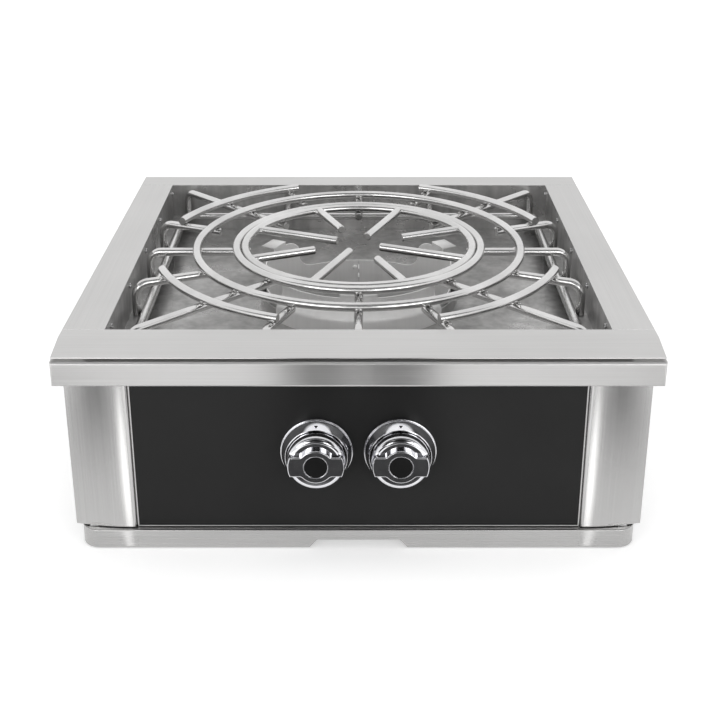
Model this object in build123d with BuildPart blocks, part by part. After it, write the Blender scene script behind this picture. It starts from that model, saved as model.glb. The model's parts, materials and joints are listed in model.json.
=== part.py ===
from build123d import *
import os
from math import atan2, cos, degrees, pi, radians, sin, sqrt, tan

# Drop-in gas power burner for an outdoor kitchen. Millimetres, +X right, +Y back, +Z up.
# The origin lies under the burner's axis, on the plane that the casing stands on.

os.makedirs("parts", exist_ok=True)

# Sheets and fits
deck_sheet = 1.5
casing_sheet = 1.2
liner_sheet = 1.2
weld_gap = 0.05
rest_gap = 0.3
running_gap = 0.05
cut_over = 10.0

# Deck: a folded frame round the fire opening, with an apron that slopes to the front
deck_width = 610.0
deck_top = 229.0
deck_side_rail = 44.0
deck_rear_rail = 38.75
deck_front_rail = 18.25
apron_reach = 37.5
apron_drop = 5.7
return_width = 12.0
opening_depth = 494.5

# Front panel, bar, fascia and columns
panel_set_back = 11.0
panel_sheet = 1.5
panel_low = 23.5
fascia_thick = 3.0
fascia_fit = 0.2
rim_sheet = 1.2
bar_overhang = 1.0
bar_height = 26.9
bar_depth = 14.0
bar_round = 3.0
bar_gap = 2.6
column_set_in = 6.9
column_width = 65.3
column_sheet = 1.5
column_proud = 5.0
column_bow = 8.0
column_edge_round = 4.0
column_depth = 50.0
column_gap = 0.9

# Casing under the deck
casing_side_set_in = 30.0
casing_rear_set_in = 23.0
vent_count = 6
vent_pitch = 13.0
vent_length = 110.0
vent_width = 7.0
vent_height = 120.0

# Drip tray behind the base rail
rail_set_in = 12.4
rail_proud = 9.0
rail_low = 1.0
rail_sheet = 1.5
rail_return = 40.0
rail_corner = 20.0
rail_ledge = 9.0
rail_round = 1.2
notch_top = 87.0
notch_bottom = 103.0
notch_height = 9.5
notch_round = 4.0
tray_clear = 1.0
tray_set_in = 6.5
tray_sheet = 1.2
tray_side_gap = 4.2
tray_rear_gap = 12.0
tongue_set_in = 19.6
pan_set_back = 2.0
runner_width = 22.0
runner_sheet = 1.2

# Liner of the fire box
liner_reveal = 1.2
floor_top = 163.0
collar_radius = 121.0
collar_height = 14.0
collar_stop = 40.0
ledge_width = 22.0
wing_back_width = 3.2
wing_front_width = 62.2
screw_head_radius = 3.2
screw_head_height = 1.8
screw_drop = 12.0
screw_count = 5
screw_pitch = 114.0
screw_row_middle = 16.0
rear_screw_count = 3
rear_screw_pitch = 120.0
rear_screw_drop = 6.5

# Wind shield round the burner: two half shells
shield_radius = 112.0
shield_sheet = 1.2
shield_top = 207.0
shield_seam = 0.4
crest_angle = 11.0
crest_rise = 4.0
notch_start = 52.0
notch_end = 78.0
notch_floor = 182.0
rear_cut_low = 168.0
rear_cut_half = 59.0
rear_cut_spread = 34.0
tab_angle = 118.0
tab_width = 28.0
tab_reach = 18.0
arch_half = 66.0
arch_top = 142.0
rivet_radius = 3.0
rivet_height = 1.4
rivet_offset = 5.0
skirt_gap = 1.0
skirt_bend = 180.0
skirt_flare = 16.0
rivet_low = 100.0
rivet_high = 158.0

# Knobs, valves and gas train
knob_spacing = 85.4
knob_height = 116.0
knob_radius = 30.0
knob_back = 6.0
knob_skirt = 25.5
knob_shoulder = 32.0
knob_shoulder_radius = 24.0
knob_face = 37.5
grip_length = 57.0
grip_width = 22.0
boss_radius = 18.25
grip_blend = 5.0
grip_round = 1.2
insert_radius = 12.25
insert_rim = 0.4
insert_thick = 2.0
insert_sink = 0.3
bezel_radius = 37.1
bezel_flange = 6.0
bezel_step = 1.2
bezel_body = 9.0
bezel_lip = 0.9
bezel_depth = 18.5
bezel_round = 0.5
bezel_gap = 0.8
stem_radius = 4.0
stem_flat = 3.0
stem_hole_radius = 8.0
stem_in_knob = 22.0
knob_fit = 0.02
push_travel = 3.0
valve_gap = 3.5
valve_radius = 14.0
valve_length = 40.0
plug_radius = 8.0
plug_length = 29.0
plug_set_in = 2.0
spring_well_radius = 6.5
spring_well_depth = 12.0
collar_thick = 1.5
stem_collar_radius = 6.0
stem_collar_inset = 0.4
spring_radius = 5.25
spring_wire = 0.7
spring_turns = 4
points_per_turn = 24
gas_passage = 3.0
stub_radius = 7.0
orifice_radius = 5.0
orifice_length = 11.0
orifice_bore = 0.9
orifice_taper = 1.6
orifice_gap = 4.0
manifold_radius = 10.65
manifold_bore = 8.0
manifold_drop = 32.0
manifold_left = -95.0
manifold_right_gap = 25.0
bracket_thick = 4.0
bracket_margin = 4.0
bracket_left = -80.0
bracket_right = 120.0
cap_radius = 13.5
cap_length = 10.0
supply_radius = 8.0
supply_set_in = 48.8
supply_bend = 20.0
inlet_hex = 28.0
inlet_hex_length = 10.0
inlet_reach = 20.0
inlet_web = 2.0
inlet_neck_radius = 12.5
inlet_hole_gap = 0.35

# Burner, its support and mixing tubes
support_top = 70.0
support_height = 20.0
support_width = 40.0
support_sheet = 2.0
ring_burner_radius = 66.0
ring_burner_width = 26.0
ring_burner_height = 22.0
burner_wall = 3.0
port_radius = 1.4
ring_ports = 40
ring_leg_radius = 6.0
inner_head_radius = 28.0
inner_stem_radius = 13.0
inner_bore_radius = 9.0
inner_head_height = 19.0
inner_ports = 12
inner_port_circle = 18.0
tube_radius = 12.0
tube_wall = 1.5
tube_inlet_radius = 7.0
dip_gap = 4.0
dip_start = 150.0
dip_end = 88.0
dip_side = 24.0
dip_bend = 30.0
shutter_length = 30.0
shutter_wall = 1.2
window_length = 16.0
window_height = 12.0

# Grate of round rod and the wok ring that lies on it
rod_radius = 5.0
ring_rise = 2.6
frame_drop = 40.0
frame_corner = 12.0
leg_gap = 7.0
bar_count = 16
bar_bend = 14.0
bar_tuck = 6.0
middle_ring_radius = 195.0
outer_arc_set_in = 6.25
outer_arc_span = 49.0
wok_radius = 137.0
wok_side_gap = 0.6
prong_count = 8
prong_tip_long = 28.0
prong_tip_short = 57.0
prong_cope = 1.5
prong_round = 1.2

# Levels and faces that several pieces share
opening_width = deck_width - 2 * deck_side_rail
deck_back = opening_depth / 2 + deck_rear_rail
deck_bend = opening_depth / 2 + deck_front_rail
deck_under = deck_top - deck_sheet
apron_front = -(deck_bend + apron_reach)
apron_low = deck_top - apron_drop - deck_sheet
bar_width = deck_width + 2 * bar_overhang
bar_top = apron_low - bar_gap
bar_low = bar_top - bar_height
panel_face = apron_front + panel_set_back
panel_back = panel_face + panel_sheet
fascia_face = panel_face - fascia_thick
column_outer = deck_width / 2 - column_set_in
column_inner = column_outer - column_width
rim_half = column_inner - column_gap
fascia_width = 2 * (rim_half - rim_sheet - fascia_fit)
column_front = panel_face - column_proud
casing_half = deck_width / 2 - casing_side_set_in
casing_back = deck_back - casing_rear_set_in
casing_inner = casing_half - casing_sheet
rear_inner = casing_back - casing_sheet
pan_top = casing_sheet
rail_half = deck_width / 2 - rail_set_in
rail_front = panel_face - rail_proud
rail_top = panel_low - tray_clear
tray_top = rail_top - rail_sheet
tray_wall = panel_back + tray_set_in
tray_low = pan_top + runner_sheet + rest_gap
tray_half = casing_inner - tray_side_gap
tongue_half = tray_half - tongue_set_in
liner_x = opening_width / 2 + liner_reveal
liner_y = opening_depth / 2 + liner_reveal
floor_low = floor_top - liner_sheet
shield_outer = shield_radius + shield_sheet
knob_x = knob_spacing / 2
valve_front = panel_back + valve_gap
valve_back = valve_front + valve_length
plug_front = valve_front + plug_set_in
plug_back = plug_front + plug_length
orifice_tip = valve_back + orifice_length
tube_front = orifice_tip + orifice_gap
manifold_y = (valve_front + valve_back) / 2
manifold_z = knob_height - manifold_drop
supply_x = casing_inner - supply_set_in
manifold_right = supply_x - manifold_right_gap
ring_burner_outer = ring_burner_radius + ring_burner_width / 2
ring_burner_low = knob_height - ring_burner_height / 2
burner_top = knob_height + ring_burner_height / 2
dip_z = ring_burner_low - dip_gap - tube_radius
rod = 2 * rod_radius
ring_z = deck_top + ring_rise
bar_z = ring_z - rod - weld_gap
wok_z = bar_z + rod + rest_gap
frame_z = deck_top - frame_drop
ledge_top = frame_z - rod_radius - rest_gap
leg_x = opening_width / 2 - leg_gap
leg_y = opening_depth / 2 - leg_gap
frame_x = leg_x - rod - weld_gap
frame_y = leg_y - rod - weld_gap
inner_ring_radius = wok_radius + rod + wok_side_gap
outer_arc_radius = min(opening_width, opening_depth) / 2 - outer_arc_set_in
sides = (("left", -1), ("right", 1))


def save(piece, name):
    piece.part.label = name
    export_step(piece.part, f"parts/{name}.step")


def rectangle_between(low, high, mode=Mode.ADD):
    with Locations(((low[0] + high[0]) / 2, (low[1] + high[1]) / 2)):
        Rectangle(abs(high[0] - low[0]), abs(high[1] - low[1]), mode=mode)


def box_between(low, high, mode=Mode.ADD):
    with Locations([tuple((a + b) / 2 for a, b in zip(low, high))]):
        Box(*(abs(b - a) for a, b in zip(low, high)), mode=mode)


def cylinder_y(radius, x, z, start, end, mode=Mode.ADD):
    with Locations(Location((x, (start + end) / 2, z), (90, 0, 0))):
        Cylinder(radius, abs(end - start), mode=mode)


def cylinder_z(radius, x, y, low, high, mode=Mode.ADD):
    with Locations((x, y, (low + high) / 2)):
        Cylinder(radius, high - low, mode=mode)


def side_plane(x):
    return Plane(origin=(x, 0, 0), x_dir=(0, 1, 0), z_dir=(1, 0, 0))


def knob_plane(x):
    return Plane(origin=(x, fascia_face, knob_height), x_dir=(1, 0, 0), z_dir=(0, 0, 1))


def knob_axis(x):
    return Axis((x, fascia_face, knob_height), (0, 1, 0))


def face_plane(x, forward):
    return Plane(origin=(x, fascia_face - forward, knob_height), x_dir=(1, 0, 0), z_dir=(0, -1, 0))


def apron_under(y):
    return deck_under - apron_drop * max(0.0, -deck_bend - y) / apron_reach


# Top deck: folded shell, open below, with a return flange that rests on the counter
with BuildPart() as top_deck:
    with BuildSketch(side_plane(-deck_width / 2)):
        with BuildLine():
            Polyline(
                (apron_front, apron_low),
                (apron_front, deck_top - apron_drop),
                (-deck_bend, deck_top),
                (deck_back, deck_top),
                (deck_back, apron_low),
                close=True,
            )
        make_face()
    extrude(amount=deck_width)
    with BuildSketch(side_plane(-deck_width / 2 + deck_sheet)):
        with BuildLine():
            Polyline(
                (apron_front, apron_low),
                (-deck_bend, deck_under),
                (deck_back - deck_sheet, deck_under),
                (deck_back - deck_sheet, apron_low),
                close=True,
            )
        make_face()
    extrude(amount=deck_width - 2 * deck_sheet, mode=Mode.SUBTRACT)
    flange_half = deck_width / 2 - deck_sheet
    with BuildSketch(Plane.XY.offset(apron_low)):
        rectangle_between((-flange_half, -deck_bend), (flange_half, deck_back - deck_sheet))
        rectangle_between(
            (return_width - flange_half, -deck_bend),
            (flange_half - return_width, deck_back - deck_sheet - return_width),
            mode=Mode.SUBTRACT,
        )
    extrude(amount=deck_sheet)
    with BuildSketch(Plane.XY.offset(deck_under)):
        Rectangle(opening_width, opening_depth)
    extrude(amount=deck_sheet, mode=Mode.SUBTRACT)
save(top_deck, "top_deck")

# Front bar: channel with rounded front edges, closed behind by the front panel
with BuildPart() as front_bar:
    bar_front = panel_face - bar_depth
    box_between((-bar_width / 2, bar_front, bar_low), (bar_width / 2, panel_face, bar_top))
    fillet(front_bar.edges().group_by(Axis.Y)[0], radius=bar_round)
    box_between(
        (deck_sheet - bar_width / 2, bar_front + deck_sheet, bar_low + deck_sheet),
        (bar_width / 2 - deck_sheet, panel_face, bar_top - deck_sheet),
        mode=Mode.SUBTRACT,
    )
save(front_bar, "front_bar")

# Front panel: sheet behind the bar and fascia, with a thin rim round the fascia
with BuildPart() as front_panel:
    panel_top = apron_under(panel_face) - rest_gap
    box_between((-casing_half, panel_face, panel_low), (casing_half, panel_back, panel_top))
    box_between((-rim_half, fascia_face, panel_low), (rim_half, panel_face, bar_low))
    box_between(
        (rim_sheet - rim_half, fascia_face, panel_low + rim_sheet),
        (rim_half - rim_sheet, panel_face, bar_low),
        mode=Mode.SUBTRACT,
    )
    for _, sign in sides:
        cylinder_y(stem_hole_radius, sign * knob_x, knob_height, panel_face, panel_back, Mode.SUBTRACT)
save(front_panel, "front_panel")

# Control fascia: dark plate inside the rim, bare but for the two stem holes
with BuildPart() as control_fascia:
    fascia_low = panel_low + rim_sheet + fascia_fit
    box_between(
        (-fascia_width / 2, fascia_face, fascia_low),
        (fascia_width / 2, panel_face, bar_low - fascia_fit),
    )
    for _, sign in sides:
        cylinder_y(stem_hole_radius, sign * knob_x, knob_height, fascia_face, panel_face, Mode.SUBTRACT)
save(control_fascia, "control_fascia")

# Corner columns: bowed sheet that wraps back to the casing
column_back = column_front + column_depth
for side, sign in sides:
    with BuildPart() as column:
        with BuildSketch(Plane.XY.offset(panel_low)):
            with BuildLine():
                Polyline(
                    (sign * (column_inner + column_sheet), panel_face),
                    (sign * column_inner, panel_face),
                    (sign * column_inner, column_front),
                )
                TangentArc(
                    (sign * column_inner, column_front),
                    (sign * column_outer, column_front + column_bow),
                    tangent=(sign, 0),
                )
                Polyline(
                    (sign * column_outer, column_front + column_bow),
                    (sign * column_outer, column_back),
                    (sign * casing_half, column_back),
                    (sign * casing_half, column_back - column_sheet),
                    (sign * (column_outer - column_sheet), column_back - column_sheet),
                    (sign * (column_outer - column_sheet), column_front + column_bow + column_sheet),
                )
                TangentArc(
                    (sign * (column_inner + column_sheet), column_front + column_sheet),
                    (sign * (column_outer - column_sheet), column_front + column_bow + column_sheet),
                    tangent=(sign, 0),
                )
                Line(
                    (sign * (column_inner + column_sheet), column_front + column_sheet),
                    (sign * (column_inner + column_sheet), panel_face),
                )
            make_face()
        extrude(amount=bar_low - panel_low)
        upright = column.edges().filter_by(Axis.Z)
        outer_edge = upright.filter_by(lambda e: abs(e.center().Y - column_front) < weld_gap)
        inner_face = column_front + column_sheet
        inner_edge = upright.filter_by(lambda e: abs(e.center().Y - inner_face) < weld_gap)
        fillet(outer_edge, column_edge_round)
        fillet(inner_edge, column_edge_round - column_sheet)
    save(column, f"{side}_column")

# Casing sides with vent slots, cut under the apron's slope
for side, sign in sides:
    with BuildPart() as casing_side:
        with BuildSketch(side_plane(sign * casing_half)):
            with BuildLine():
                Polyline(
                    (panel_back, pan_top),
                    (panel_back, apron_under(panel_back) - rest_gap),
                    (-deck_bend, deck_under),
                    (rear_inner, deck_under),
                    (rear_inner, pan_top),
                    close=True,
                )
            make_face()
            with Locations((0, vent_height)):
                with GridLocations(0, vent_pitch, 1, vent_count):
                    SlotOverall(vent_length, vent_width, mode=Mode.SUBTRACT)
        extrude(amount=-sign * casing_sheet)
    save(casing_side, f"{side}_casing_side")

# Rear panel with the hole for the gas inlet
with BuildPart() as rear_panel:
    box_between((-casing_half, rear_inner, pan_top), (casing_half, casing_back, deck_under))
    hole = inlet_neck_radius + inlet_hole_gap
    cylinder_y(hole, supply_x, manifold_z, rear_inner, casing_back, Mode.SUBTRACT)
    with BuildSketch(Plane.XZ.offset(-casing_back)):
        with Locations((0, vent_height)):
            with GridLocations(0, vent_pitch, 1, vent_count):
                SlotOverall(vent_length, vent_width)
    extrude(amount=casing_sheet, mode=Mode.SUBTRACT)
save(rear_panel, "rear_casing_panel")

# Bottom pan that the casing stands on
with BuildPart() as bottom_pan:
    box_between((-casing_half, tray_wall + pan_set_back, 0), (casing_half, casing_back, pan_top))
save(bottom_pan, "bottom_pan")

# Tray runners: flat strips on the pan, along the casing sides
for side, sign in sides:
    with BuildPart() as runner:
        box_between(
            (sign * (casing_inner - runner_width), tray_wall + pan_set_back, pan_top),
            (sign * casing_inner, rear_inner - tray_rear_gap, pan_top + runner_sheet),
        )
    save(runner, f"{side}_tray_runner")

# Drip tray: open box on the runners
with BuildPart() as drip_tray:
    tray_back = rear_inner - tray_rear_gap
    box_between((-tray_half, tray_wall, tray_low), (tray_half, tray_back, tray_top))
    box_between(
        (tray_sheet - tray_half, tray_wall + tray_sheet, tray_low + tray_sheet),
        (tray_half - tray_sheet, tray_back - tray_sheet, tray_top),
        mode=Mode.SUBTRACT,
    )
save(drip_tray, "drip_tray")

# Base rail, the tray's front: rounded ends, a ledge on top and a finger notch below
with BuildPart() as tray_front:
    rail_back = rail_front + rail_return
    with BuildSketch(Plane.XY.offset(rail_low)) as rail_plan:
        rectangle_between((-rail_half, rail_front), (rail_half, rail_back))
        fillet(rail_plan.vertices().group_by(Axis.Y)[0], rail_corner)
    extrude(amount=rail_top - rail_low)
    rail_rim = tray_front.faces().sort_by(Axis.Z)[-1].edges()
    fillet(rail_rim.filter_by(lambda e: e.center().Y < rail_back - weld_gap), rail_round)
    with BuildSketch(Plane.XY.offset(rail_low)) as rail_hollow:
        rectangle_between(
            (rail_sheet - rail_half, rail_front + rail_sheet), (rail_half - rail_sheet, rail_back)
        )
        fillet(rail_hollow.vertices().group_by(Axis.Y)[0], rail_corner - rail_sheet)
    extrude(amount=tray_top - rail_low, mode=Mode.SUBTRACT)
    box_between(
        (rail_ledge - rail_half, rail_front + rail_ledge, tray_top),
        (rail_half - rail_ledge, rail_back, rail_top),
        mode=Mode.SUBTRACT,
    )
    box_between(
        (-tongue_half, rail_front + rail_ledge, tray_top),
        (tongue_half, tray_wall + tray_sheet, rail_top),
    )
    with BuildSketch(Plane.XZ.offset(-rail_front - rail_sheet)) as finger_notch:
        with BuildLine():
            Polyline(
                (-notch_bottom / 2, rail_low),
                (-notch_top / 2, rail_low + notch_height),
                (notch_top / 2, rail_low + notch_height),
                (notch_bottom / 2, rail_low),
                close=True,
            )
        make_face()
        fillet(finger_notch.vertices().group_by(Axis.Y)[-1], notch_round)
    extrude(amount=rail_sheet, mode=Mode.SUBTRACT)
save(tray_front, "tray_front")

# Liner walls: the side walls carry a ledge for the grate
for side, sign in sides:
    with BuildPart() as liner_side:
        box_between(
            (sign * liner_x, -liner_y, floor_top), (sign * (liner_x + liner_sheet), liner_y, deck_under)
        )
        box_between(
            (sign * (liner_x - ledge_width), -liner_y, ledge_top - liner_sheet),
            (sign * liner_x, liner_y, ledge_top),
        )
    save(liner_side, f"{side}_liner_wall")

for name, sign in (("front", -1), ("rear", 1)):
    with BuildPart() as liner_end:
        box_between(
            (-liner_x - liner_sheet, sign * liner_y, floor_top),
            (liner_x + liner_sheet, sign * (liner_y + liner_sheet), deck_under),
        )
    save(liner_end, f"{name}_liner_wall")

# Screw heads on the liner: a row on each side wall and one on the rear wall
with BuildPart() as liner_screws:
    for sign in (-1, 1):
        for index in range(screw_count):
            place = screw_row_middle + (index - (screw_count - 1) / 2) * screw_pitch
            spot = Plane(origin=(sign * liner_x, place, deck_top - screw_drop), z_dir=(-sign, 0, 0))
            with BuildSketch(spot):
                Circle(screw_head_radius)
            extrude(amount=screw_head_height)
    for index in range(rear_screw_count):
        place = (index - (rear_screw_count - 1) / 2) * rear_screw_pitch
        height = deck_top - rear_screw_drop
        cylinder_y(screw_head_radius, place, height, liner_y, liner_y - screw_head_height)
save(liner_screws, "liner_screws")

# Burner floor with a raised collar that stops short of the shield's low back
with BuildPart() as burner_floor:
    with BuildSketch(Plane.XY.offset(floor_low)):
        Rectangle(2 * (liner_x + liner_sheet), 2 * (liner_y + liner_sheet))
        Circle(collar_radius - liner_sheet, mode=Mode.SUBTRACT)
    extrude(amount=liner_sheet)
    with BuildSketch(Plane.XY.offset(floor_top)):
        Circle(collar_radius)
        Circle(collar_radius - liner_sheet, mode=Mode.SUBTRACT)
    extrude(amount=collar_height)
    box_between(
        (-collar_radius, collar_stop, floor_top),
        (collar_radius, 2 * collar_radius, floor_top + collar_height),
        mode=Mode.SUBTRACT,
    )
save(burner_floor, "burner_floor")

# Side wings: plates lapped on the floor, with slanting inner edges
with BuildPart() as floor_wings:
    with BuildSketch(Plane.XY.offset(floor_top)):
        for sign in (-1, 1):
            with BuildLine():
                Polyline(
                    (sign * liner_x, liner_y),
                    (sign * (liner_x - wing_back_width), liner_y),
                    (sign * (liner_x - wing_front_width), -liner_y),
                    (sign * liner_x, -liner_y),
                    close=True,
                )
            make_face()
    extrude(amount=liner_sheet)
save(floor_wings, "floor_side_wings")


# Wind shield half: angles run from the front of the shield round to its back
def cut_shield(first, last, sign, low, high):
    start = -90 + (first if sign > 0 else -last)
    with Locations(Location((0, 0, low), (0, 0, start))):
        Cylinder(2 * shield_outer, high - low, arc_size=last - first, align=None, mode=Mode.SUBTRACT)


post_half = degrees(tab_width / 2 / shield_outer)
tab_root = max(shield_radius + weld_gap, shield_outer * cos(radians(post_half)) - weld_gap)
crest_top = shield_top + crest_rise
shield_middle = (shield_radius + shield_outer) / 2
skirt_inner = collar_radius + skirt_gap
skirt_outer = skirt_inner + shield_sheet
skirt_drop = shield_sheet * tan(atan2(skirt_outer - shield_outer, skirt_flare) / 2)
for side, sign in sides:
    with BuildPart() as shield_half:
        with BuildSketch(Plane.XY.offset(support_top)):
            Circle(shield_outer)
            Circle(shield_radius, mode=Mode.SUBTRACT)
        extrude(amount=crest_top - support_top)
        # the front section flares into a skirt over the floor's collar
        with BuildSketch(Plane(origin=(0, 0, 0), x_dir=(0, -1, 0), z_dir=(-1, 0, 0))):
            with BuildLine():
                Polyline(
                    (shield_outer, skirt_bend + skirt_flare),
                    (skirt_outer, skirt_bend),
                    (skirt_outer, floor_top + weld_gap),
                    (skirt_inner, floor_top + weld_gap),
                    (skirt_inner, skirt_bend - skirt_drop),
                    (shield_middle, skirt_bend + skirt_flare - 2 * shield_sheet),
                    (shield_middle, skirt_bend + skirt_flare),
                    close=True,
                )
            make_face()
        revolve(axis=Axis((0, 0, 0), (0, 0, sign)), revolution_arc=notch_start)
        # the halves part at a seam
        box_between(
            (sign * shield_seam / 2, -2 * shield_outer, support_top - cut_over),
            (-sign * 2 * shield_outer, 2 * shield_outer, crest_top + cut_over),
            mode=Mode.SUBTRACT,
        )
        # the crest at the front and the post of the tab stay high, and a notch parts the front section
        cut_shield(crest_angle, tab_angle - post_half, sign, shield_top, crest_top + cut_over)
        cut_shield(tab_angle + post_half, 180, sign, shield_top, crest_top + cut_over)
        cut_shield(notch_start, notch_end, sign, notch_floor, crest_top + cut_over)
        # the back is low, with an S-shaped shoulder up to the side
        shoulder_foot = (sign * rear_cut_half, rear_cut_low)
        shoulder_mid = (sign * (rear_cut_half + rear_cut_spread / 2), (rear_cut_low + shield_top) / 2)
        shoulder_head = (sign * (rear_cut_half + rear_cut_spread), shield_top)
        with BuildSketch(Plane.XZ):
            with BuildLine():
                TangentArc(shoulder_foot, shoulder_mid, tangent=(sign, 0))
                TangentArc(shoulder_head, shoulder_mid, tangent=(-sign, 0))
                Polyline(
                    shoulder_head,
                    (shoulder_head[0], crest_top),
                    (-sign * cut_over, crest_top),
                    (-sign * cut_over, rear_cut_low),
                    shoulder_foot,
                )
            make_face()
        extrude(amount=-2 * shield_outer, mode=Mode.SUBTRACT)
        # arch under the front for the mixing tubes
        box_between(
            (-sign * cut_over, -2 * shield_outer, support_top - cut_over),
            (sign * arch_half, 0, arch_top),
            mode=Mode.SUBTRACT,
        )
        # tab bent outwards from its post
        heading = (sign * sin(radians(tab_angle)), -cos(radians(tab_angle)), 0)
        with BuildSketch(Plane(origin=(0, 0, crest_top - shield_sheet), x_dir=heading, z_dir=(0, 0, 1))):
            rectangle_between((tab_root, -tab_width / 2), (shield_outer + tab_reach, tab_width / 2))
        extrude(amount=shield_sheet)
    save(shield_half, f"{side}_shield_half")

# Rivets beside the seam: heads inside the shield at the back, and inside at the front
with BuildPart() as shield_rivets:
    for sign in (-1, 1):
        seat = sqrt(shield_radius**2 - (rivet_offset + rivet_radius) ** 2) - weld_gap
        for level in (rivet_low, rivet_high):
            if sign > 0 or level > arch_top:
                cylinder_y(rivet_radius, -rivet_offset, level, sign * (seat - rivet_height), sign * seat)
save(shield_rivets, "shield_rivets")

# Burner support: channel across the casing
with BuildPart() as support_bar:
    support_low = support_top - support_height
    half = support_width / 2
    box_between((-casing_inner, -half, support_low), (casing_inner, half, support_top))
    box_between(
        (-casing_inner, support_sheet - half, support_low),
        (casing_inner, half - support_sheet, support_top - support_sheet),
        mode=Mode.SUBTRACT,
    )
save(support_bar, "burner_support_bar")

# Outer ring burner: hollow ring with ports on top, two legs and the inlet of the left tube
with BuildPart() as ring_burner:
    with BuildSketch(Plane.XZ):
        with Locations((ring_burner_radius, knob_height)):
            RectangleRounded(ring_burner_width, ring_burner_height, burner_wall)
            Rectangle(
                ring_burner_width - 2 * burner_wall,
                ring_burner_height - 2 * burner_wall,
                mode=Mode.SUBTRACT,
            )
    revolve(axis=Axis.Z)
    for sign in (-1, 1):
        foot = sign * ring_burner_radius
        cylinder_z(ring_leg_radius, foot, 0, support_top, ring_burner_low + burner_wall / 2)
    with PolarLocations(ring_burner_radius, ring_ports):
        with Locations((0, 0, burner_top - burner_wall / 2)):
            Cylinder(port_radius, 2 * burner_wall, mode=Mode.SUBTRACT)
    port_end = -sqrt(ring_burner_radius**2 - knob_x**2)
    cylinder_y(
        tube_inlet_radius, -knob_x, knob_height, -ring_burner_outer, port_end, Mode.SUBTRACT
    )
save(ring_burner, "outer_ring_burner")

# Inner burner: hollow head on a stem that stands on the support
with BuildPart() as inner_burner:
    head_low = burner_top - inner_head_height
    cavity = inner_head_radius - 2 * burner_wall
    with BuildSketch(Plane.XZ):
        with BuildLine():
            Polyline(
                (0, support_top),
                (inner_stem_radius, support_top),
                (inner_stem_radius, head_low - burner_wall),
                (inner_head_radius, head_low + burner_wall),
                (inner_head_radius, burner_top - burner_wall),
                (inner_head_radius - burner_wall, burner_top),
                (0, burner_top),
                close=True,
            )
        make_face()
        with BuildLine():
            Polyline(
                (0, support_top + burner_wall),
                (inner_bore_radius, support_top + burner_wall),
                (inner_bore_radius, head_low),
                (cavity, head_low + 2 * burner_wall),
                (cavity, burner_top - burner_wall),
                (0, burner_top - burner_wall),
                close=True,
            )
        make_face(mode=Mode.SUBTRACT)
    revolve(axis=Axis.Z)
    with PolarLocations(inner_port_circle, inner_ports):
        with Locations((0, 0, burner_top - burner_wall / 2)):
            Cylinder(port_radius, 2 * burner_wall, mode=Mode.SUBTRACT)
    cylinder_y(tube_inlet_radius, 0, dip_z, -inner_stem_radius, 0, Mode.SUBTRACT)
save(inner_burner, "inner_burner")


# A window through both sides of a tube or sleeve at its air inlet
def air_windows(x):
    middle = tube_front + shutter_length / 2
    reach = tube_radius + cut_over
    box_between(
        (x - reach, middle - window_length / 2, knob_height - window_height / 2),
        (x + reach, middle + window_length / 2, knob_height + window_height / 2),
        mode=Mode.SUBTRACT,
    )


# Mixing tubes, each with two air windows: the left feeds the ring, the right dips under it
for side, sign in sides:
    with BuildPart() as mixing_tube:
        x = sign * knob_x
        if sign < 0:
            stops = [(x, tube_front, knob_height), (x, 0, knob_height)]
            with BuildLine() as tube_path:
                Line(*stops)
        else:
            stops = [
                (x, tube_front, knob_height),
                (x, -dip_start, knob_height),
                (dip_side, -dip_end, dip_z),
                (0, 0, dip_z),
            ]
            with BuildLine() as tube_path:
                FilletPolyline(*stops, radius=dip_bend)
        with BuildSketch(Plane(origin=stops[0], x_dir=(1, 0, 0), z_dir=(0, 1, 0))):
            Circle(tube_radius)
            Circle(tube_radius - tube_wall, mode=Mode.SUBTRACT)
        sweep()
        target = ring_burner_outer if sign < 0 else inner_stem_radius
        cylinder_z(target, 0, 0, support_top, burner_top + cut_over, Mode.SUBTRACT)
        air_windows(x)
    save(mixing_tube, f"{side}_mixing_tube")

# Air shutters: sleeves with matching windows that turn on the tubes
for side, sign in sides:
    with BuildPart() as shutter:
        x = sign * knob_x
        sleeve = tube_radius + running_gap
        end = tube_front + shutter_length
        cylinder_y(sleeve + shutter_wall, x, knob_height, tube_front, end)
        cylinder_y(sleeve, x, knob_height, tube_front, end, Mode.SUBTRACT)
        air_windows(x)
    save(shutter, f"{side}_air_shutter")

# Gas manifold: pipe under the valves
with BuildPart() as manifold:
    with BuildSketch(side_plane(manifold_left)):
        with Locations((manifold_y, manifold_z)):
            Circle(manifold_radius)
            Circle(manifold_bore, mode=Mode.SUBTRACT)
    extrude(amount=manifold_right - manifold_left)
    for _, sign in sides:
        cylinder_z(
            gas_passage, sign * knob_x, manifold_y, manifold_z, manifold_z + manifold_radius, Mode.SUBTRACT
        )
save(manifold, "gas_manifold")

# Cap on the manifold's closed end
with BuildPart() as end_cap:
    with BuildSketch(side_plane(manifold_left)):
        with Locations((manifold_y, manifold_z)):
            RegularPolygon(cap_radius, 6)
    extrude(amount=-cap_length)
save(end_cap, "manifold_end_cap")

# Brackets that hold the manifold on the front panel
with BuildPart() as brackets:
    for x in (bracket_left, bracket_right):
        low = manifold_z - manifold_radius - bracket_margin
        high = manifold_z + manifold_radius + bracket_margin
        box_between(
            (x, panel_back, low),
            (x + bracket_thick, manifold_y + manifold_radius + bracket_margin, high),
        )
    with BuildSketch(side_plane(manifold_left)):
        with Locations((manifold_y, manifold_z)):
            Circle(manifold_radius)
    extrude(amount=manifold_right - manifold_left, mode=Mode.SUBTRACT)
save(brackets, "manifold_brackets")

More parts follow.
